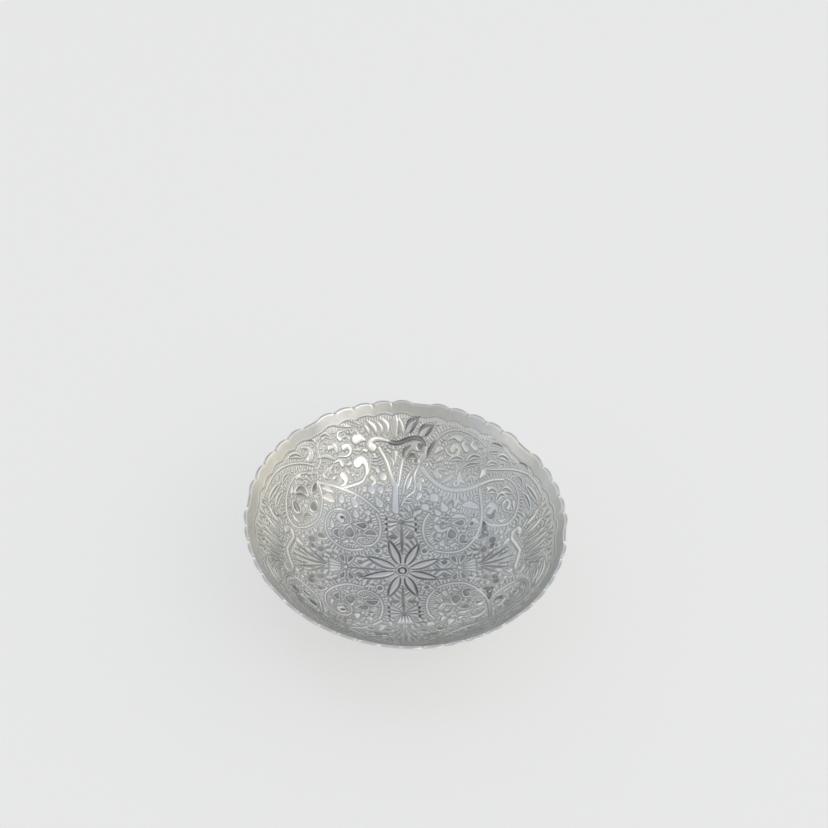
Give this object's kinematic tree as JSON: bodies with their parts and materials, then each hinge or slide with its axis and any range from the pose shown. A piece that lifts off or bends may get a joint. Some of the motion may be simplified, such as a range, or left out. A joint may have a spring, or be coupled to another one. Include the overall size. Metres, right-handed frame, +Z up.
{
  "type": "offering bowl",
  "caption": "Shallow silver-plated offering bowl of engraved sheet metal with a scalloped lip, soldered on a low round foot ring.",
  "frame": {"origin": "on the surface that the foot rests on, under the middle of the bowl", "axes": "+Z up along the bowl's axis; +Y to the north of the engraved ornament, which is the side away from the camera in the picture; +X to the right"},
  "size_m": [0.115, 0.115, 0.0363],
  "materials": {
    "silvered_bowl": "silver-plated, engraved and polished",
    "silvered_foot": "silver-plated, plain and polished",
    "solder": "silver-plated, slightly dull"
  },
  "bodies": {
    "root": {"bowl_shell": "silvered_bowl", "foot_ring": "silvered_foot", "solder_seam": "solder"}
  },
  "joints": []
}
